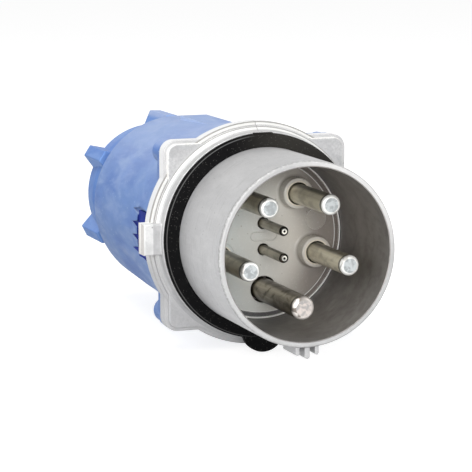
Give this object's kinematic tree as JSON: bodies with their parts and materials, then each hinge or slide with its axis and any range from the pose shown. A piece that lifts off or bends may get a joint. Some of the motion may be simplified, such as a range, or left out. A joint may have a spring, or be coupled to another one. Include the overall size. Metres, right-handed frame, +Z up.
{
  "type": "industrial pin and sleeve plug",
  "caption": "Large industrial pin and sleeve plug with a metal protecting sleeve, lugged flange, round contacts and pilots, blue housing and winged gland nut.",
  "frame": {"origin": "on the plug's axis in the plane of the gasket's front face, where the sleeve meets the flange", "axes": "-Y along the contacts out of the mouth, +Y to the cable gland, +Z up with the key at the bottom, +X to the right seen from the front"},
  "size_m": [0.1466, 0.289, 0.1386],
  "materials": {
    "cast_aluminium": "satin",
    "black_rubber": "matte",
    "carrier_grey": "gloss",
    "carrier_dark": "matte",
    "contact_nickel": "polished nickel plate",
    "plain_steel": "satin",
    "housing_blue": "matte",
    "pad_navy": "matte",
    "ring_grey": "matte",
    "nut_blue": "matte"
  },
  "bodies": {
    "plug": {"sleeve_shell": "cast_aluminium", "flange_gasket": "black_rubber", "contact_carrier": "carrier_grey", "pin_phase_1": "contact_nickel", "pin_phase_2": "contact_nickel", "pin_phase_3": "contact_nickel", "pin_neutral": "contact_nickel", "pin_earth": "contact_nickel", "pin_pilot_upper": "contact_nickel", "pin_pilot_lower": "contact_nickel", "terminal_screws": "plain_steel", "pilot_screws": "plain_steel", "carrier_back": "carrier_dark", "carrier_screws": "plain_steel", "retainer_ring": "plain_steel", "retainer_screws": "plain_steel", "housing_seal": "black_rubber", "rear_housing": "housing_blue", "housing_screws": "plain_steel", "lug_pad_left": "pad_navy", "lug_pad_right": "pad_navy", "gland_seal": "black_rubber"},
    "pressure_ring": {"pressure_ring": "ring_grey"},
    "gland_nut": {"gland_nut": "nut_blue"}
  },
  "joints": [
    {"name": "gland_travel", "type": "slide", "parent": "plug", "child": "pressure_ring", "axis": [0, 1, 0], "range_m": [0, 0.021]},
    {"name": "gland_spin", "type": "hinge", "parent": "pressure_ring", "child": "gland_nut", "pos_m": [0, 0.2, 0], "axis": [0, 1, 0], "range_deg": [0, 2520]}
  ],
  "couplings": [
    {"joint": "gland_travel", "follows": "gland_spin", "m_per_rad": 0.00047746}
  ]
}
